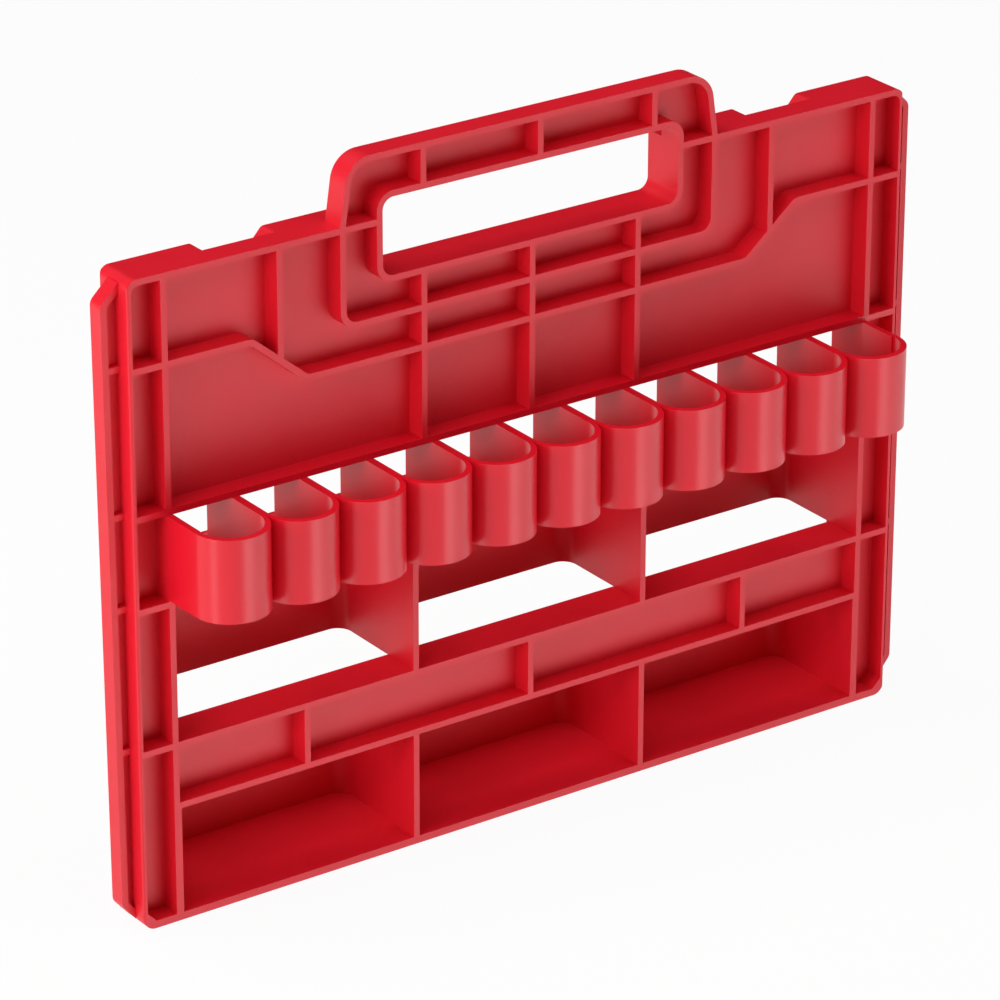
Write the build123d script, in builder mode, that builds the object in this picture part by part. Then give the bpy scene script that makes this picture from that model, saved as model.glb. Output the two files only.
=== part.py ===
"""Moulded tool panel with a carrying handle, a row of tool loops, rear straps and pockets.

Frame: millimetres, +X to the right seen from the front, +Y to the rear, +Z up.
The origin is at the middle of the underside, in the panel's middle plane.
"""
import os
from math import radians, tan

from build123d import *

os.makedirs("parts", exist_ok=True)

# Main panel
PANEL_WIDTH = 341.6
PANEL_HEIGHT = 252.0
PANEL_DEPTH = 18.3
SHALLOW_DEPTH = 16.85
SIDE_WALL = 1.6
RIB = 2.4
WEB = 2.2
FLOOR = 3.0
TOP_CORNER_RADIUS = 4.0
BOTTOM_CORNER_RADIUS = 5.0
TOP_INNER_RADIUS = 3.0
BOTTOM_INNER_CHAMFER = 3.7
SIDE_EDGE_RADIUS = 1.0
CORNER_REACH = 9.0
BAY_WIDTH = 12.35
UPPER_BAY_WIDTH = 11.8

# Heights that stack up from the floor
POCKET_HEIGHT = 42.1
CROSSBAR_HEIGHT = 26.6
WINDOW_HEIGHT = 55.8
LOOP_HEIGHT = 33.3

# Heights that hang down from the top rail
HANDLE_RISE = 24.75
GRIP_BAND = 12.85
HOLE_HEIGHT = 29.7
BAND_UNDER_HOLE = 11.8
BAND_UNDER_HANDLE = 12.8
CONTOUR_RISE = 19.0

# Crossbar
CROSSBAR_RIB_PITCH = 99.5

# Pockets and straps behind the panel
REAR_REACH = 30.4
REAR_WALL = 1.6
POCKET_END_WALL = 3.0
COMPARTMENT_COUNT = 3
COMPARTMENT_CORNER_RADIUS = 6.0
CORNER_LAND = 2.0

# Tool loops
LOOP_COUNT = 11
LOOP_REACH = 32.7
LOOP_SHARED_WALL = 3.3
LOOP_FRONT_WALL = 2.6
LOOP_UNDERSIDE_SLOPE = 1.5

# Contour rib and field ribs
CONTOUR_BEND_OUTER = 120.5
CONTOUR_BEND_INNER = 97.5
CONTOUR_BEND_RADIUS = 5.0
FIELD_RIB_OFFSET = 108.5
CENTRE_RIB_PITCH = 47.4

# Handle
HANDLE_WIDTH = 166.2
HANDLE_LEAN_ANGLE = 8.3
HANDLE_TOP_RADIUS = 11.0
HANDLE_BOTTOM_RADIUS = 7.0
HANDLE_REAR_EDGE_RADIUS = 1.0
HOLE_WIDTH = 130.2
HOLE_CORNER_RADIUS = 4.6
GRIP_RIB_PITCH = 50.9
GRIP_RIB_SHIFT = 3.3

# Dips in the rear half of the top rail
DIP_INNER_CREST = 104.2
DIP_OUTER_CREST = 133.5
DIP_DROP = 6.3
DIP_SLOPE = 48.0
DIP_BEND_RADIUS = 2.5

# Guide rails on both ends
GUIDE_REACH = 7.4
GUIDE_LEFT_TAPER = 1.9
GUIDE_DEPTH = 6.8
GUIDE_WALL = 2.6
GUIDE_TOP_DROP = 2.2
GUIDE_BOTTOM_RISE = 2.9
GUIDE_TOP_SLOPE = 44.0
GUIDE_BOTTOM_SLOPE = 49.5
GUIDE_END_WALL = 2.6
GUIDE_TIP_RADIUS = 4.0

# Stations across the width and the depth
half_width = PANEL_WIDTH / 2
wall_inner = half_width - SIDE_WALL
bay_inner = wall_inner - BAY_WIDTH
rib_inner = bay_inner - RIB
upper_bay_inner = wall_inner - UPPER_BAY_WIDTH
upper_rib_inner = upper_bay_inner - RIB
pocket_inner = bay_inner - POCKET_END_WALL
panel_front = -PANEL_DEPTH / 2
panel_rear = PANEL_DEPTH / 2
web_front = -WEB / 2
web_rear = WEB / 2
shallow_rear = panel_front + SHALLOW_DEPTH
rear_face = panel_rear + REAR_REACH
rear_inner = rear_face - REAR_WALL
compartment_width = (2 * pocket_inner - (COMPARTMENT_COUNT - 1) * RIB) / COMPARTMENT_COUNT
hole_half = HOLE_WIDTH / 2
ring_half = hole_half + RIB
handle_half = HANDLE_WIDTH / 2

# Levels
crossbar_bottom = FLOOR + POCKET_HEIGHT
crossbar_top = crossbar_bottom + CROSSBAR_HEIGHT
loop_bottom = crossbar_top + WINDOW_HEIGHT
strap_top = loop_bottom - RIB
loop_top = loop_bottom + LOOP_HEIGHT
shelf_top = loop_top + RIB
rail_bottom = PANEL_HEIGHT - RIB
handle_top = PANEL_HEIGHT + HANDLE_RISE
ring_top = handle_top - RIB - GRIP_BAND
hole_top = ring_top - RIB
hole_bottom = hole_top - HOLE_HEIGHT
ring_bottom = hole_bottom - RIB
handle_bottom = ring_bottom - BAND_UNDER_HOLE - RIB
contour_low_top = handle_bottom - BAND_UNDER_HANDLE
contour_low = contour_low_top - RIB
contour_high = contour_low + CONTOUR_RISE
contour_high_top = contour_high + RIB


def middle(span):
    """Gives the middle of a span."""
    return (span[0] + span[1]) / 2


def block(across, along, up):
    """Makes a straight wall or rib from its spans across x, along y and up z."""
    with BuildPart() as bar:
        with BuildSketch(Plane.XY.offset(up[0])):
            with Locations((middle(across), middle(along))):
                Rectangle(across[1] - across[0], along[1] - along[0])
        extrude(amount=up[1] - up[0])
    return bar.part


def mirrored(span, side):
    """Gives a span's low and high ends on the right (+1) or the left (-1)."""
    return tuple(sorted((side * span[0], side * span[1])))


def front_plane(rear):
    """Gives the front-view plane at a rear face, from which material grows forward."""
    return Plane.XZ.offset(-rear)


def store(piece, name):
    """Names a finished piece and writes it out."""
    piece.label = name
    export_step(piece, f"parts/{name}.step")


SIDES = (("left", -1), ("right", 1))

# Outer frame as one ring, cut further down into rails and walls
dip_run = DIP_DROP / tan(radians(DIP_SLOPE))
dip_floor = PANEL_HEIGHT - DIP_DROP
dip_shift = RIB * tan(radians(DIP_SLOPE / 2))


def dip_path(crest_level, shift):
    """Lists the bends of both dips in the top rail, from right to left."""
    right = (
        (DIP_OUTER_CREST + shift, crest_level),
        (DIP_OUTER_CREST - dip_run + shift, crest_level - DIP_DROP),
        (DIP_INNER_CREST + dip_run - shift, crest_level - DIP_DROP),
        (DIP_INNER_CREST - shift, crest_level),
    )
    left = tuple((-x, z) for x, z in reversed(right))
    return right + left


def frame_face(dipped):
    """Draws the frame's front view, with or without the dips in its top rail."""
    outer_dips = dip_path(PANEL_HEIGHT, 0) if dipped else ()
    inner_dips = dip_path(rail_bottom, dip_shift) if dipped else ()
    layers = (
        (half_width, 0, PANEL_HEIGHT, outer_dips, Mode.ADD),
        (wall_inner, FLOOR, rail_bottom, inner_dips, Mode.SUBTRACT),
    )
    with BuildSketch() as face:
        for reach, low, high, dips, mode in layers:
            with BuildSketch(mode=mode) as layer:
                with BuildLine():
                    Polyline((-reach, low), (reach, low), (reach, high), *dips, (-reach, high), close=True)
                make_face()
                lower_corners = layer.vertices().group_by(Axis.Y)[0]
                if mode == Mode.ADD:
                    fillet(lower_corners, radius=BOTTOM_CORNER_RADIUS)
                else:
                    chamfer(lower_corners, length=BOTTOM_INNER_CHAMFER)
                crest_corners = layer.vertices().group_by(Axis.Y)[-1].sort_by(Axis.X)
                bends = crest_corners[1:-1]
                if dipped:
                    bends += layer.vertices().group_by(Axis.Y)[-2]
                    fillet(bends, radius=DIP_BEND_RADIUS)
                crest_corners = layer.vertices().group_by(Axis.Y)[-1].sort_by(Axis.X)
                end_corners = [crest_corners[0], crest_corners[-1]]
                fillet(end_corners, radius=TOP_CORNER_RADIUS if mode == Mode.ADD else TOP_INNER_RADIUS)
    return face.sketch


with BuildPart() as frame_ring:
    with BuildSketch(front_plane(web_rear)):
        add(frame_face(dipped=False))
    extrude(amount=web_rear - panel_front)
    with BuildSketch(front_plane(panel_rear)):
        add(frame_face(dipped=True))
    extrude(amount=panel_rear - web_rear)
    with BuildSketch(Plane.XY):
        RectangleRounded(PANEL_WIDTH, PANEL_DEPTH, SIDE_EDGE_RADIUS)
    extrude(amount=PANEL_HEIGHT, mode=Mode.INTERSECT)

# Base floor: the bottom rail with both lower corners and the floor of the pockets behind it
outer_corner = COMPARTMENT_CORNER_RADIUS + REAR_WALL
with BuildPart() as base_floor:
    add(frame_ring.part)
    split(bisect_by=Plane.XY.offset(CORNER_REACH), keep=Keep.BOTTOM)
    with BuildSketch() as pocket_floor:
        with Locations((0, middle((web_front, rear_face)))):
            Rectangle(2 * bay_inner, rear_face - web_front)
        fillet(pocket_floor.vertices().group_by(Axis.Y)[-1], radius=outer_corner)
    extrude(amount=FLOOR)
store(base_floor.part, "base_floor")

# Side walls
for side_name, side in SIDES:
    with BuildPart() as side_wall:
        add(frame_ring.part)
        split(bisect_by=Plane.XY.offset(CORNER_REACH), keep=Keep.TOP)
        split(bisect_by=Plane.XY.offset(PANEL_HEIGHT - CORNER_REACH), keep=Keep.BOTTOM)
        outside = Keep.TOP if side > 0 else Keep.BOTTOM
        split(bisect_by=Plane.YZ, keep=outside)
    store(side_wall.part, f"side_wall_{side_name}")

# Top rails: full height in front, dipped between two crests behind
over_rail = (PANEL_HEIGHT - CORNER_REACH, PANEL_HEIGHT + RIB)
for side_name, side in SIDES:
    with BuildPart() as top_rail:
        add(frame_ring.part)
        split(bisect_by=Plane.XY.offset(PANEL_HEIGHT - CORNER_REACH), keep=Keep.TOP)
        split(bisect_by=Plane.YZ, keep=Keep.TOP if side > 0 else Keep.BOTTOM)
        front_gap = block(mirrored((0, handle_half), side), (panel_front, web_rear), over_rail)
        rear_gap = block(mirrored((0, ring_half), side), (web_rear, panel_rear), over_rail)
        add(front_gap, mode=Mode.SUBTRACT)
        add(rear_gap, mode=Mode.SUBTRACT)
    store(top_rail.part, f"top_rail_{side_name}")

# Guide rails: an outer wall on a thin web, with a slanted wall at each end
guide_front = -GUIDE_DEPTH / 2
guide_rear = GUIDE_DEPTH / 2
guide_top = PANEL_HEIGHT - GUIDE_TOP_DROP
top_run = tan(radians(GUIDE_TOP_SLOPE))
bottom_run = tan(radians(GUIDE_BOTTOM_SLOPE))
top_wall_height = GUIDE_END_WALL * (1 + top_run**2) ** 0.5
bottom_wall_height = GUIDE_END_WALL * (1 + bottom_run**2) ** 0.5
guide_levels = (
    crossbar_top - RIB,
    strap_top,
    loop_top,
    contour_high,
)


def guide_face(side, low_reach, high_reach, low, high):
    """Draws a guide rail's front view between two levels on the panel's end."""
    with BuildSketch() as face:
        with BuildLine():
            Polyline(
                (side * half_width, low),
                (side * (half_width + low_reach), low + low_reach * bottom_run),
                (side * (half_width + high_reach), high - high_reach * top_run),
                (side * half_width, high),
                close=True,
            )
        make_face()
    return face.sketch


for side_name, side in SIDES:
    taper = GUIDE_LEFT_TAPER if side < 0 else 0
    low_reach = GUIDE_REACH - taper
    pocket_reaches = (low_reach - GUIDE_WALL, GUIDE_REACH - GUIDE_WALL)
    pocket_low = GUIDE_BOTTOM_RISE + bottom_wall_height
    pocket_high = guide_top - top_wall_height
    with BuildPart() as guide_rail:
        with BuildSketch(front_plane(guide_rear)) as guide_outline:
            add(guide_face(side, low_reach, GUIDE_REACH, GUIDE_BOTTOM_RISE, guide_top))
            tips = guide_outline.vertices().sort_by(Axis.X)
            fillet(tips[-2:] if side > 0 else tips[:2], radius=GUIDE_TIP_RADIUS)
        extrude(amount=GUIDE_DEPTH)
        for rear, depth in ((guide_rear, guide_rear - web_rear), (web_front, web_front - guide_front)):
            with BuildSketch(front_plane(rear)):
                add(guide_face(side, *pocket_reaches, pocket_low, pocket_high))
                for level in guide_levels:
                    with Locations((side * (half_width + GUIDE_REACH / 2), level + RIB / 2)):
                        Rectangle(GUIDE_REACH, RIB, mode=Mode.SUBTRACT)
            extrude(amount=depth, mode=Mode.SUBTRACT)
    store(guide_rail.part, f"guide_rail_{side_name}")

# Shelf over the loops
loop_shelf = block((-wall_inner, wall_inner), (panel_front, panel_rear), (loop_top, shelf_top))
store(loop_shelf, "loop_shelf")

# Crossbar over the pockets
with BuildPart() as crossbar:
    for level in (crossbar_bottom, crossbar_top - RIB):
        add(block((-rib_inner, rib_inner), (panel_front, shallow_rear), (level, level + RIB)))
    between = (crossbar_bottom + RIB, crossbar_top - RIB)
    add(block((-rib_inner, rib_inner), (web_front, web_rear), between))
    for step in (-1, 0, 1):
        rib_x = step * CROSSBAR_RIB_PITCH
        add(block((rib_x - RIB / 2, rib_x + RIB / 2), (panel_front, shallow_rear), between))
store(crossbar.part, "crossbar")

# Side columns: inner rib, web towards the side wall and level ribs
compartment_rear_start = rear_inner - COMPARTMENT_CORNER_RADIUS - CORNER_LAND
columns = []
for side_name, side in SIDES:
    inner_rib = mirrored((rib_inner, bay_inner), side)
    bay = mirrored((bay_inner, wall_inner), side)
    with BuildPart() as column_lower:
        add(block(inner_rib, (panel_front, panel_rear), (crossbar_bottom, crossbar_top)))
        pocket_wall = mirrored((pocket_inner, bay_inner), side)
        add(block(pocket_wall, (panel_front, compartment_rear_start), (FLOOR, crossbar_bottom)))
        add(block(bay, (web_front, web_rear), (FLOOR, crossbar_top - RIB)))
        add(block(bay, (panel_front, panel_rear), (crossbar_top - RIB, crossbar_top)))
        add(frame_ring.part, mode=Mode.SUBTRACT)
    with BuildPart() as column_middle:
        add(block(inner_rib, (panel_front, panel_rear), (crossbar_top, loop_top)))
        add(block(inner_rib, (panel_rear, compartment_rear_start), (crossbar_top, strap_top)))
        add(block(bay, (web_front, web_rear), (crossbar_top, loop_top)))
        add(block(bay, (panel_front, panel_rear), (strap_top, loop_bottom)))
    upper_rib = mirrored((upper_rib_inner, upper_bay_inner), side)
    upper_bay = mirrored((upper_bay_inner, wall_inner), side)
    with BuildPart() as column_upper:
        add(block(upper_rib, (panel_front, panel_rear), (shelf_top, contour_high)))
        add(block(upper_bay, (web_front, web_rear), (shelf_top, contour_high)))
    with BuildPart() as column_top:
        add(block(upper_rib, (panel_front, panel_rear), (contour_high_top, rail_bottom)))
        add(block(upper_bay, (web_front, web_rear), (contour_high_top, rail_bottom)))
        add(frame_ring.part, mode=Mode.SUBTRACT)
    store(column_lower.part, f"side_column_{side_name}_lower")
    store(column_middle.part, f"side_column_{side_name}_middle")
    store(column_upper.part, f"side_column_{side_name}_upper")
    store(column_top.part, f"side_column_{side_name}_top")
    columns += [column_upper.part, column_top.part]

# Tool loops: each a strip of the row, open above, below and behind, its underside rising to the front
loop_pitch = 2 * bay_inner / LOOP_COUNT
loop_outer = loop_pitch / 2
loop_inner = loop_outer - LOOP_SHARED_WALL / 2
loop_front = panel_front - LOOP_REACH
outer_centre_y = loop_front + loop_outer
inner_centre_y = loop_front + LOOP_FRONT_WALL + loop_inner
underside_rise = (shallow_rear - loop_front) * tan(radians(LOOP_UNDERSIDE_SLOPE))
for number in range(1, LOOP_COUNT + 1):
    centre_x = (number - (LOOP_COUNT + 1) / 2) * loop_pitch
    with BuildPart() as tool_loop:
        with BuildSketch(Plane.XY.offset(loop_bottom)):
            with Locations((centre_x, outer_centre_y)):
                Circle(loop_outer)
            with Locations((centre_x, middle((outer_centre_y, shallow_rear)))):
                Rectangle(loop_pitch, shallow_rear - outer_centre_y)
            with Locations((centre_x, inner_centre_y)):
                Circle(loop_inner, mode=Mode.SUBTRACT)
            with Locations((centre_x, middle((inner_centre_y, shallow_rear)))):
                Rectangle(2 * loop_inner, shallow_rear - inner_centre_y, mode=Mode.SUBTRACT)
        extrude(amount=LOOP_HEIGHT)
        if number in (1, LOOP_COUNT):
            side = -1 if number == 1 else 1
            end_wall = mirrored((rib_inner, bay_inner), side)
            add(block(end_wall, (inner_centre_y, panel_rear), (loop_bottom, loop_top)))
            add(block(end_wall, (panel_front, panel_rear), (loop_bottom, loop_top)), mode=Mode.SUBTRACT)
        with BuildSketch(Plane.YZ.offset(centre_x - loop_outer)):
            with BuildLine():
                Polyline(
                    (shallow_rear, loop_bottom),
                    (loop_front, loop_bottom),
                    (loop_front, loop_bottom + underside_rise),
                    close=True,
                )
            make_face()
        extrude(amount=loop_pitch, mode=Mode.SUBTRACT)
    store(tool_loop.part, f"tool_loop_{number:02d}")

# Contour rib: low over the middle, high at both sides
with BuildPart() as contour_rib:
    with BuildSketch(front_plane(panel_rear)):
        with BuildLine():
            FilletPolyline(
                (-wall_inner, contour_high + RIB / 2),
                (-CONTOUR_BEND_OUTER, contour_high + RIB / 2),
                (-CONTOUR_BEND_INNER, contour_low + RIB / 2),
                (CONTOUR_BEND_INNER, contour_low + RIB / 2),
                (CONTOUR_BEND_OUTER, contour_high + RIB / 2),
                (wall_inner, contour_high + RIB / 2),
                radius=CONTOUR_BEND_RADIUS,
            )
        trace(line_width=RIB)
    extrude(amount=PANEL_DEPTH)
store(contour_rib.part, "contour_rib")

# Field ribs from the contour rib's slants to the top rail
field_ribs = []
for side_name, side in SIDES:
    rib_span = (side * FIELD_RIB_OFFSET - RIB / 2, side * FIELD_RIB_OFFSET + RIB / 2)
    with BuildPart() as field_rib:
        add(block(rib_span, (panel_front, web_rear), (contour_low, rail_bottom)))
        add(block(rib_span, (web_rear, panel_rear), (contour_low, dip_floor - RIB)))
        add(contour_rib.part, mode=Mode.SUBTRACT)
    with BuildPart() as upper_piece:
        add(field_rib.solids().sort_by(Axis.Z)[-1])
    store(upper_piece.part, f"field_rib_{side_name}")
    field_ribs.append(upper_piece.part)

# Centre ribs under and over the contour rib
centre_ribs = []
for number, step in enumerate((-1, 0, 1), start=1):
    rib_x = step * CENTRE_RIB_PITCH
    rib_span = (rib_x - RIB / 2, rib_x + RIB / 2)
    lower_rib = block(rib_span, (panel_front, panel_rear), (shelf_top, contour_low))
    upper_rib = block(rib_span, (panel_front, panel_rear), (contour_low_top, handle_bottom))
    store(lower_rib, f"centre_rib_lower_{number:02d}")
    store(upper_rib, f"centre_rib_upper_{number:02d}")
    centre_ribs += [lower_rib, upper_rib]


def handle_face(inset):
    """Draws the handle's outline, a distance inside its outer face."""
    top_half = handle_half - HANDLE_RISE * tan(radians(HANDLE_LEAN_ANGLE))
    with BuildSketch() as outline:
        with BuildLine():
            Polyline(
                (-handle_half, handle_bottom),
                (handle_half, handle_bottom),
                (handle_half, PANEL_HEIGHT),
                (top_half, handle_top),
                (-top_half, handle_top),
                (-handle_half, PANEL_HEIGHT),
                close=True,
            )
        make_face()
        fillet(outline.vertices().group_by(Axis.Y)[-1], radius=HANDLE_TOP_RADIUS)
        fillet(outline.vertices().group_by(Axis.Y)[0], radius=HANDLE_BOTTOM_RADIUS)
        if inset > 0:
            offset(amount=-inset, mode=Mode.REPLACE)
    return outline.sketch


def hole_face(outset):
    """Draws the hand hole's outline, a distance outside its edge."""
    with BuildSketch() as outline:
        with Locations((0, middle((hole_bottom, hole_top)))):
            RectangleRounded(
                HOLE_WIDTH + 2 * outset,
                HOLE_HEIGHT + 2 * outset,
                HOLE_CORNER_RADIUS + outset,
            )
    return outline.sketch


# Handle frame: outer rib of the handle, full depth only below the top rail
with BuildPart() as handle_block:
    with BuildSketch(front_plane(panel_rear)):
        add(handle_face(0))
    extrude(amount=PANEL_DEPTH)
    above_rail = (rail_bottom, handle_top + RIB)
    add(
        block((-handle_half, handle_half), (web_rear, panel_rear), above_rail),
        mode=Mode.SUBTRACT,
    )
    on_web_rear = handle_block.edges().filter_by_position(Axis.Y, web_rear - WEB / 4, web_rear + WEB / 4)
    rounded = on_web_rear.filter_by_position(Axis.Z, PANEL_HEIGHT, handle_top + RIB)
    fillet(rounded, radius=HANDLE_REAR_EDGE_RADIUS)
with BuildPart() as handle_frame:
    add(handle_block.part)
    with BuildSketch(front_plane(panel_rear)):
        add(handle_face(RIB))
    extrude(amount=PANEL_DEPTH, mode=Mode.SUBTRACT)
store(handle_frame.part, "handle_frame")

# Ring round the hand hole
with BuildPart() as hole_ring:
    with BuildSketch(front_plane(panel_rear)):
        add(hole_face(RIB))
        add(hole_face(0), mode=Mode.SUBTRACT)
    extrude(amount=PANEL_DEPTH)
    add(
        block((-ring_half, ring_half), (web_rear, panel_rear), (PANEL_HEIGHT, ring_top)),
        mode=Mode.SUBTRACT,
    )
store(hole_ring.part, "hole_ring")

# Handle web with its grip ribs and lower ribs
with BuildPart() as handle_web:
    with BuildSketch(front_plane(web_rear)):
        add(handle_face(RIB))
        add(hole_face(RIB), mode=Mode.SUBTRACT)
    extrude(amount=WEB)
    for step in (-1, 0, 1):
        grip_x = step * GRIP_RIB_PITCH + GRIP_RIB_SHIFT
        grip_span = (grip_x - RIB / 2, grip_x + RIB / 2)
        add(block(grip_span, (panel_front, web_front), (ring_top, handle_top - RIB)))
        rib_x = step * CENTRE_RIB_PITCH
        rib_span = (rib_x - RIB / 2, rib_x + RIB / 2)
        add(block(rib_span, (panel_front, panel_rear), (handle_bottom + RIB, ring_bottom)))
    for side_name, side in SIDES:
        level_span = mirrored((ring_half, handle_half - RIB), side)
        add(block(level_span, (panel_front, web_front), (rail_bottom, PANEL_HEIGHT)))
    add(handle_frame.part, mode=Mode.SUBTRACT)
store(handle_web.part, "handle_web")

# Web panels of the upper field, parted by the ribs and the handle
with BuildPart() as handle_space:
    with BuildSketch(front_plane(panel_rear)):
        add(handle_face(0))
    extrude(amount=PANEL_DEPTH)
with BuildPart() as upper_sheet:
    add(block((-wall_inner, wall_inner), (web_front, web_rear), (shelf_top, rail_bottom)))
    cutters = [frame_ring.part, contour_rib.part, handle_space.part]
    for cutter in cutters + columns + field_ribs + centre_ribs:
        add(cutter, mode=Mode.SUBTRACT)
panels = upper_sheet.solids()
under_contour = [panel for panel in panels if panel.bounding_box().min.Z < contour_low]
over_contour = [panel for panel in panels if panel.bounding_box().min.Z > contour_low]
for level_name, row in (("lower", under_contour), ("upper", over_contour)):
    for number, panel in enumerate(ShapeList(row).sort_by(Axis.X), start=1):
        with BuildPart() as web_panel:
            add(panel)
        store(web_panel.part, f"web_panel_{level_name}_{number:02d}")

# Dividers of the pockets and the straps
divider_ranges = (("pocket", FLOOR, crossbar_bottom), ("strap", crossbar_top, strap_top))
divider_near = compartment_width / 2
divider_far = divider_near + RIB
for side_name, side in SIDES:
    for kind, low, high in divider_ranges:
        divider = block(mirrored((divider_near, divider_far), side), (panel_front, rear_face), (low, high))
        store(divider, f"{kind}_divider_{side_name}")

# Rear walls of the pockets and the straps, with rounded inner corners
rear_ranges = (
    ("pocket", FLOOR, crossbar_bottom, pocket_inner),
    ("strap", crossbar_top, strap_top, rib_inner),
)
for kind, low, high, inner_x in rear_ranges:
    places = (
        ("left", -bay_inner, -divider_far, -inner_x, -divider_far),
        ("centre", -divider_near, divider_near, -divider_near, divider_near),
        ("right", divider_far, bay_inner, divider_far, inner_x),
    )
    for place_name, start, end, clear_start, clear_end in places:
        with BuildPart() as rear_wall:
            with BuildSketch(Plane.XY.offset(low)) as wall_outline:
                with Locations((middle((start, end)), middle((compartment_rear_start, rear_face)))):
                    Rectangle(end - start, rear_face - compartment_rear_start)
                rear_corners = wall_outline.vertices().group_by(Axis.Y)[-1].sort_by(Axis.X)
                if place_name == "left":
                    fillet(rear_corners[0], radius=outer_corner)
                if place_name == "right":
                    fillet(rear_corners[-1], radius=outer_corner)
                with BuildSketch(mode=Mode.SUBTRACT) as clear_space:
                    with Locations((middle((clear_start, clear_end)), middle((panel_rear, rear_inner)))):
                        Rectangle(clear_end - clear_start, rear_inner - panel_rear)
                    fillet(
                        clear_space.vertices().group_by(Axis.Y)[-1],
                        radius=COMPARTMENT_CORNER_RADIUS,
                    )
            extrude(amount=high - low)
        store(rear_wall.part, f"{kind}_rear_wall_{place_name}")
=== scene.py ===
"""Looks of the moulded tool panel: one satin red moulding on a white floor under soft studio light.

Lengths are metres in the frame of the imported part: +X right, +Y to the rear, +Z up, underside at z = 0.
Angles are degrees. An azimuth is counted from the panel's front towards its right end, and an elevation
from the floor's level upwards.
"""
import logging
import math
from dataclasses import dataclass
from enum import Enum

import bpy
import numpy as np
from mathutils import Matrix, Vector


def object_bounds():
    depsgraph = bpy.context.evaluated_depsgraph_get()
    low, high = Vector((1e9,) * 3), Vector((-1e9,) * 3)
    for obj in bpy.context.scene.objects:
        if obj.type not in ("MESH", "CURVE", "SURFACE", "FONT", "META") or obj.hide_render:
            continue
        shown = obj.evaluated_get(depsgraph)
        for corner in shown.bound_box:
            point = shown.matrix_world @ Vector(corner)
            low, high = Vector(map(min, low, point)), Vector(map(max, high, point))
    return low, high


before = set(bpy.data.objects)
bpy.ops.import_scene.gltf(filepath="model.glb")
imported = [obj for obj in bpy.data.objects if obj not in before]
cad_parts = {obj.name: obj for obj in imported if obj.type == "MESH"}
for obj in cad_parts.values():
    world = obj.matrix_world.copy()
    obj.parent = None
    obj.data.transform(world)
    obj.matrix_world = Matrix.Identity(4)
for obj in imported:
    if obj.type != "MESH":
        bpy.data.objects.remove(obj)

CAD_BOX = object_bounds()
MM = 0.001

logging.basicConfig(level=logging.INFO, format="%(message)s")
log = logging.getLogger("tool_panel")


class Side(Enum):
    """The two ends of the panel, seen from the front."""

    LEFT = "left"
    RIGHT = "right"


class Storey(Enum):
    """The two storeys of space behind the panel."""

    POCKET = "pocket"
    STRAP = "strap"


class Skin(Enum):
    """How the mould's cavity leaves the plastic's surface."""

    SATIN = "satin"
    FINE_SATIN = "fine_satin"


def linear(hex_colour: str) -> tuple[float, float, float, float]:
    """Turns an sRGB hex colour into linear light.

    Args:
        hex_colour: Six hex digits after a hash sign.

    Returns:
        Linear red, green and blue, and a full alpha.
    """
    srgb = np.array([int(hex_colour[place : place + 2], 16) for place in (1, 3, 5)]) / 255
    light = np.where(srgb <= 0.04045, srgb / 12.92, ((srgb + 0.055) / 1.055) ** 2.4)
    return (*(float(value) for value in light), 1.0)


def add_node(
    tree: bpy.types.NodeTree,
    kind: str,
    settings: dict[str | int, object] | None = None,
    links: dict[str | int, bpy.types.NodeSocket] | None = None,
) -> bpy.types.Node:
    """Adds one node with its settings and the links into it.

    Args:
        tree: The node tree that gets the node.
        kind: Blender's name for the kind of node.
        settings: Properties by name, and values of input sockets by socket name or number.
        links: Output sockets that feed its inputs, by input name or number.

    Returns:
        The new node.
    """
    node = tree.nodes.new(kind)
    for key, value in (settings or {}).items():
        if isinstance(key, str) and hasattr(node, key):
            setattr(node, key, value)
        else:
            node.inputs[key].default_value = value
    for key, source in (links or {}).items():
        tree.links.new(source, node.inputs[key])
    return node


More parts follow.
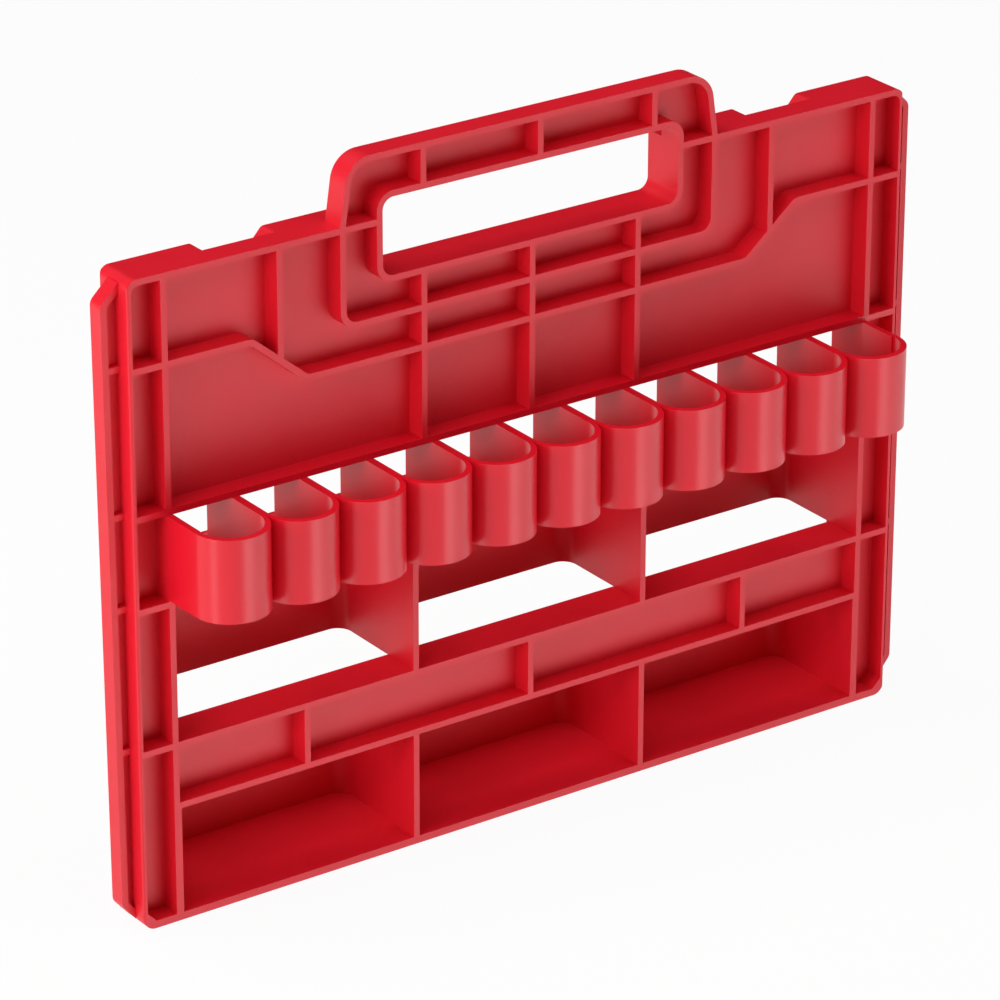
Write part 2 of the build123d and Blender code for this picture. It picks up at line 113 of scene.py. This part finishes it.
@dataclass(frozen=True)
class MouldedPolypropylene:
    """Injection-moulded polypropylene, coloured through.

    The mould's fine spark-eroded cavity leaves a satin skin: broad soft highlights, reflections that
    blur within a few centimetres, patches a little more or less matt, faint clouding where the melt
    ran and a slow waviness where thick ribs drew the skin in as they cooled.

    A layer count says how many finer noises lie on a pattern, and a span says between which noise
    values the pattern goes from none to full.
    """

    name: str
    colour_hex: str = "#E4152A"
    cloud_hex: str = "#DB1226"
    roughness: float = 0.45
    roughness_spread: float = 0.02
    ior: float = 1.50
    cloud_mm: float = 70.0
    cloud_layers: float = 3.0
    cloud_span: tuple[float, float] = (0.35, 0.65)
    cloud_share: float = 0.6
    patch_mm: float = 9.0
    patch_layers: float = 2.0
    patch_span: tuple[float, float] = (0.3, 0.7)
    wave_mm: float = 24.0
    wave_layers: float = 0.0
    wave_depth_mm: float = 0.02
    layer_fade: float = 0.55

    def noise(
        self,
        tree: bpy.types.NodeTree,
        place: bpy.types.NodeSocket,
        grain_mm: float,
        layers: float,
    ) -> bpy.types.NodeSocket:
        """Adds a noise of a given grain.

        Args:
            tree: The material's node tree.
            place: Object coordinates in metres.
            grain_mm: Size of the noise's blots.
            layers: Number of finer layers on top.

        Returns:
            The noise from 0 to 1.
        """
        settings = {"Scale": 1 / (grain_mm * MM), "Detail": layers, "Roughness": self.layer_fade}
        return add_node(tree, "ShaderNodeTexNoise", settings, {"Vector": place}).outputs["Fac"]

    @staticmethod
    def spread(
        tree: bpy.types.NodeTree,
        noise: bpy.types.NodeSocket,
        span: tuple[float, float],
        reach: tuple[float, float],
    ) -> bpy.types.NodeSocket:
        """Stretches a noise to the values that a pattern needs.

        Args:
            tree: The material's node tree.
            noise: The noise from 0 to 1.
            span: Noise values at the pattern's two ends.
            reach: The pattern's values at those ends.

        Returns:
            The pattern's value.
        """
        ends = {"From Min": span[0], "From Max": span[1], "To Min": reach[0], "To Max": reach[1]}
        return add_node(tree, "ShaderNodeMapRange", ends, {"Value": noise}).outputs["Result"]

    def build(self) -> bpy.types.Material:
        """Makes the material from its sizes.

        Returns:
            A new node material.
        """
        material = bpy.data.materials.new(self.name)
        material.use_nodes = True
        tree = material.node_tree
        tree.nodes.clear()
        place = add_node(tree, "ShaderNodeTexCoord").outputs["Object"]
        clouds = self.noise(tree, place, self.cloud_mm, self.cloud_layers)
        colour = add_node(
            tree,
            "ShaderNodeMix",
            {"data_type": "RGBA", 6: linear(self.colour_hex), 7: linear(self.cloud_hex)},
            {0: self.spread(tree, clouds, self.cloud_span, (0.0, self.cloud_share))},
        )
        patches = self.noise(tree, place, self.patch_mm, self.patch_layers)
        matt_range = (self.roughness - self.roughness_spread, self.roughness + self.roughness_spread)
        waves = self.noise(tree, place, self.wave_mm, self.wave_layers)
        relief = add_node(
            tree,
            "ShaderNodeBump",
            {"Strength": 1.0, "Distance": self.wave_depth_mm * MM},
            {"Height": waves},
        )
        skin = add_node(
            tree,
            "ShaderNodeBsdfPrincipled",
            {"Metallic": 0.0, "IOR": self.ior},
            {
                "Base Color": colour.outputs[2],
                "Roughness": self.spread(tree, patches, self.patch_span, matt_range),
                "Normal": relief.outputs["Normal"],
            },
        )
        add_node(tree, "ShaderNodeOutputMaterial", None, {"Surface": skin.outputs["BSDF"]})
        return material


@dataclass
class SubAssembly:
    """A group of the moulding's features that share one skin."""

    skin: Skin = Skin.SATIN

    def nodes(self) -> list[str]:
        """Lists the group's nodes."""
        raise NotImplementedError

    def dress(self, finishes: dict[Skin, bpy.types.Material]) -> None:
        """Gives every node of the group its finish and reports it.

        Args:
            finishes: A material for each skin.
        """
        material = finishes[self.skin]
        for name in self.nodes():
            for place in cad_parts[name].material_slots:
                place.material = material
            log.info("%s %s: %s", type(self).__name__, name, material.name)


@dataclass
class OuterFrame(SubAssembly):
    """Floor, side walls and top rails, with a guide rail down each end."""

    sides: tuple[Side, ...] = (Side.LEFT, Side.RIGHT)
    edge_parts: tuple[str, ...] = ("side_wall", "top_rail", "guide_rail")

    def nodes(self) -> list[str]:
        """Lists the floor and every edge part on both sides."""
        return ["base_floor", *(f"{part}_{side.value}" for part in self.edge_parts for side in self.sides)]


@dataclass
class SideColumns(SubAssembly):
    """The ribbed bays beside both side walls, from the floor to the top rail."""

    sides: tuple[Side, ...] = (Side.LEFT, Side.RIGHT)
    stages: tuple[str, ...] = ("lower", "middle", "upper", "top")

    def nodes(self) -> list[str]:
        """Lists each side's stages from the floor up."""
        return [f"side_column_{side.value}_{stage}" for side in self.sides for stage in self.stages]


@dataclass
class LoopRow(SubAssembly):
    """The row of tool loops under its shelf."""

    loop_count: int = 11

    def nodes(self) -> list[str]:
        """Lists the shelf and the loops from left to right."""
        return ["loop_shelf", *(f"tool_loop_{number:02d}" for number in range(1, self.loop_count + 1))]


@dataclass
class UpperField(SubAssembly):
    """The ribs and web panels round the handle's lower half."""

    sides: tuple[Side, ...] = (Side.LEFT, Side.RIGHT)
    centre_rib_count: int = 3
    lower_panel_count: int = 4
    upper_panel_count: int = 6

    def nodes(self) -> list[str]:
        """Lists the contour rib, the upright ribs and the panels between them."""
        rows = {
            "centre_rib_lower": self.centre_rib_count,
            "centre_rib_upper": self.centre_rib_count,
            "web_panel_lower": self.lower_panel_count,
            "web_panel_upper": self.upper_panel_count,
        }
        numbered = [f"{kind}_{number:02d}" for kind, count in rows.items() for number in range(1, count + 1)]
        return ["contour_rib", *(f"field_rib_{side.value}" for side in self.sides), *numbered]


@dataclass
class CarryHandle(SubAssembly):
    """The handle's outer rib, its web and the ring round the hand hole."""

    parts: tuple[str, ...] = ("handle_frame", "handle_web", "hole_ring")

    def nodes(self) -> list[str]:
        """Lists the handle's parts."""
        return list(self.parts)


@dataclass
class RearStore(SubAssembly):
    """The crossbar with the pockets under it and the straps over it."""

    sides: tuple[Side, ...] = (Side.LEFT, Side.RIGHT)
    storeys: tuple[Storey, ...] = (Storey.POCKET, Storey.STRAP)
    wall_places: tuple[str, ...] = ("left", "centre", "right")

    def nodes(self) -> list[str]:
        """Lists the crossbar, then each storey's dividers and rear walls."""
        names = ["crossbar"]
        for storey in self.storeys:
            names += [f"{storey.value}_divider_{side.value}" for side in self.sides]
            names += [f"{storey.value}_rear_wall_{place}" for place in self.wall_places]
        return names


def floor_mesh(reach: float, steps: int) -> bpy.types.Mesh:
    """Makes the flat studio floor as a grid of two parameters.

    A point is (reach * u, reach * v, 0), with u and v from -1 to 1.

    Args:
        reach: Distance from the middle to each edge.
        steps: Number of grid points along each edge.

    Returns:
        The floor's mesh, facing up.
    """
    span = np.linspace(-reach, reach, steps)
    across, along = np.meshgrid(span, span, indexing="ij")
    points = np.stack([across, along, np.zeros_like(across)], axis=-1).reshape(-1, 3)
    corner = (np.arange(steps - 1)[:, None] * steps + np.arange(steps - 1)).ravel()
    faces = np.stack([corner, corner + steps, corner + steps + 1, corner + 1], axis=-1)
    mesh = bpy.data.meshes.new("studio_floor")
    mesh.from_pydata(points.tolist(), [], faces.tolist())
    return mesh


@dataclass(frozen=True)
class SoftBox:
    """A flat square lamp that faces the object.

    Its size is the length of a side. A lamp with a negative elevation stands below the floor.
    """

    name: str
    azimuth: float
    elevation: float
    size: float
    watts: float
    distance: float = 2.2

    def build(self, target: Vector) -> None:
        """Hangs the lamp round the target.

        Args:
            target: The point that it faces.
        """
        turn, rise = math.radians(self.azimuth), math.radians(self.elevation)
        away = Vector((math.sin(turn) * math.cos(rise), -math.cos(turn) * math.cos(rise), math.sin(rise)))
        data = bpy.data.lights.new(self.name, "AREA")
        data.shape = "SQUARE"
        data.size = self.size
        data.energy = self.watts
        # Only shadow rays pass the floor, so a lamp below it is reached by those alone
        data.cycles.use_multiple_importance_sampling = self.elevation > 0
        lamp = bpy.data.objects.new(self.name, data)
        bpy.context.scene.collection.objects.link(lamp)
        lamp.location = target + away * self.distance
        lamp.rotation_mode = "QUATERNION"
        lamp.rotation_quaternion = away.to_track_quat("Z", "Y")


@dataclass
class Studio:
    """Floor, world, lamps and the photograph's camera.

    The lamps below the floor's level stand for light that comes up through a pale, translucent
    table. They give the broad upright highlights on the tool loops.
    """

    floor_reach: float = 6.0
    floor_steps: int = 9
    floor_hex: str = "#F4F4F4"
    glow_hex: str = "#FFFFFF"
    glow_strength: float = 1.0
    glow_share: float = 0.94
    world_hex: str = "#FFFFFF"
    world_strength: float = 0.01
    lamps: tuple[SoftBox, ...] = (
        SoftBox("left_softbox", -80.0, 12.0, 1.0, 16.5),
        SoftBox("left_rear_softbox", -106.0, 15.0, 1.0, 9.2),
        SoftBox("left_upper_softbox", -63.0, 33.0, 1.0, 8.9),
        SoftBox("right_upper_softbox", 40.0, 53.0, 1.2, 10.3),
        SoftBox("top_rear_softbox", -120.0, 70.0, 1.2, 21.2),
        SoftBox("top_softbox", 0.0, 85.0, 1.2, 6.0),
        SoftBox("low_front_softbox", 22.0, -24.0, 1.8, 8.6),
        SoftBox("low_front_core_softbox", 15.0, -24.0, 0.9, 3.4),
        SoftBox("low_right_softbox", 62.0, -12.0, 1.2, 3.1),
        SoftBox("low_left_softbox", -81.0, -24.0, 0.6, 2.1),
    )
    lens: float = 195.984
    sensor: float = 36.0
    camera_place: tuple[float, float, float] = (-1.0662, -1.4910, 0.9431)
    camera_azimuth: float = -35.371
    camera_elevation: float = 24.098
    camera_roll: float = 0.13

    def build_floor(self) -> None:
        """Lays the matt white floor, which glows to the camera and in reflections.

        A share of the paint still shows, so the floor keeps the panel's faint shadow. The floor casts
        none itself, so the low lamps reach the panel through it.
        """
        floor = bpy.data.objects.new("studio_floor", floor_mesh(self.floor_reach, self.floor_steps))
        bpy.context.scene.collection.objects.link(floor)
        material = bpy.data.materials.new("matt_painted_floor")
        material.use_nodes = True
        tree = material.node_tree
        tree.nodes.clear()
        path = add_node(tree, "ShaderNodeLightPath")
        seen = add_node(
            tree,
            "ShaderNodeMath",
            {"operation": "MAXIMUM"},
            {0: path.outputs["Is Camera Ray"], 1: path.outputs["Is Glossy Ray"]},
        )
        seen = add_node(
            tree,
            "ShaderNodeMath",
            {"operation": "MAXIMUM"},
            {0: seen.outputs[0], 1: path.outputs["Is Transmission Ray"]},
        )
        share = add_node(
            tree, "ShaderNodeMath", {"operation": "MULTIPLY", 1: self.glow_share}, {0: seen.outputs[0]}
        )
        paint = add_node(tree, "ShaderNodeBsdfDiffuse", {"Color": linear(self.floor_hex)})
        glow = add_node(
            tree, "ShaderNodeEmission", {"Color": linear(self.glow_hex), "Strength": self.glow_strength}
        )
        mixed = add_node(
            tree,
            "ShaderNodeMixShader",
            None,
            {0: share.outputs[0], 1: paint.outputs["BSDF"], 2: glow.outputs["Emission"]},
        )
        add_node(tree, "ShaderNodeOutputMaterial", None, {"Surface": mixed.outputs["Shader"]})
        floor.data.materials.append(material)
        floor.visible_shadow = False

    def build_world(self) -> None:
        """Fills the room with a trace of even light."""
        world = bpy.data.worlds.new("studio_room")
        bpy.context.scene.world = world
        world.use_nodes = True
        tree = world.node_tree
        tree.nodes.clear()
        sky = add_node(
            tree, "ShaderNodeBackground", {"Color": linear(self.world_hex), "Strength": self.world_strength}
        )
        add_node(tree, "ShaderNodeOutputWorld", None, {"Surface": sky.outputs["Background"]})

    def build_camera(self) -> None:
        """Sets the camera at the photograph's place, turned by its azimuth, elevation and roll."""
        data = bpy.data.cameras.new("photo_camera")
        data.lens = self.lens
        data.sensor_width = self.sensor
        camera = bpy.data.objects.new("photo_camera", data)
        bpy.context.scene.collection.objects.link(camera)
        camera.location = self.camera_place
        camera.rotation_mode = "QUATERNION"
        turn = Matrix.Rotation(math.radians(self.camera_azimuth), 3, "Z")
        tilt = Matrix.Rotation(math.radians(90 - self.camera_elevation), 3, "X")
        roll = Matrix.Rotation(math.radians(self.camera_roll), 3, "Z")
        camera.rotation_quaternion = (turn @ tilt @ roll).to_quaternion()
        bpy.context.scene.camera = camera

    def build(self) -> None:
        """Builds the whole studio."""
        low, high = CAD_BOX
        middle = (low + high) / 2
        self.build_floor()
        self.build_world()
        for lamp in self.lamps:
            lamp.build(middle)
        self.build_camera()


def mould_finishes() -> dict[Skin, bpy.types.Material]:
    """Makes the two finishes of the one plastic.

    The loops' part of the cavity is polished finer, so they show brighter and sharper highlights.

    Returns:
        A material for each skin.
    """
    satin = MouldedPolypropylene("polypropylene_moulded_satin")
    fine_satin = MouldedPolypropylene(
        "polypropylene_moulded_fine_satin", roughness=0.30, roughness_spread=0.015, patch_mm=7.0
    )
    return {Skin.SATIN: satin.build(), Skin.FINE_SATIN: fine_satin.build()}


def main() -> None:
    """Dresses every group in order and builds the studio."""
    bpy.context.scene.view_settings.view_transform = "Standard"
    finishes = mould_finishes()
    groups = (
        OuterFrame(),
        SideColumns(),
        LoopRow(skin=Skin.FINE_SATIN),
        UpperField(),
        CarryHandle(),
        RearStore(),
    )
    for group in groups:
        group.dress(finishes)
    Studio().build()


if __name__ == "__main__":
    main()
